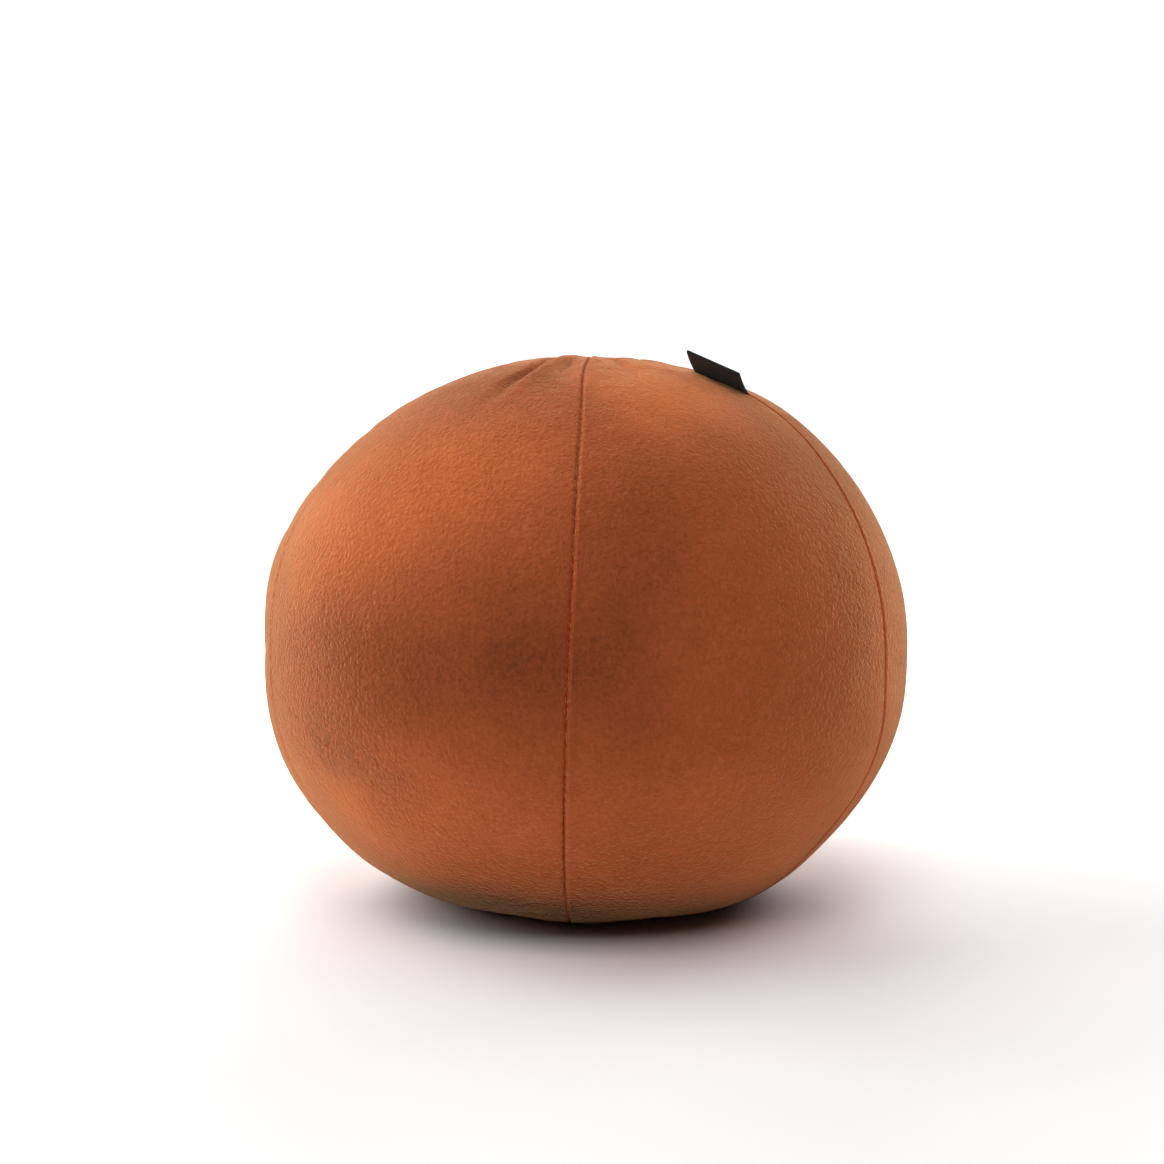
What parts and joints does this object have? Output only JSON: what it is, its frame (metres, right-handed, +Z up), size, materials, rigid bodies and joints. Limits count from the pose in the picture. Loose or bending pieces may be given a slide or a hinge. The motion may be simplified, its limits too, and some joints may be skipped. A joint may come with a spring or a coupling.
{
  "type": "velvet ball cushion",
  "caption": "Squashed round velvet cushion sewn from tapering panels that meet at top and bottom, with a small folded tape tab in one seam. Rests on its flat spot.",
  "frame": {"origin": "on the floor, under the middle of the cushion's box", "axes": "+Z up from the flat spot to where the top points meet; -Y towards the seam that faces the viewer; the tab is on the +X side"},
  "size_m": [0.3014, 0.3004, 0.251],
  "materials": {
    "velvet": "short-pile rust orange velvet, matt with a soft sheen at the edges and light and dark patches where the pile is brushed",
    "woven_tape": "close-woven black tape, matt, folded once with both raw ends in the seam"
  },
  "bodies": {
    "root": {"ball_cushion": "velvet", "seam_tab": "woven_tape"}
  },
  "joints": []
}
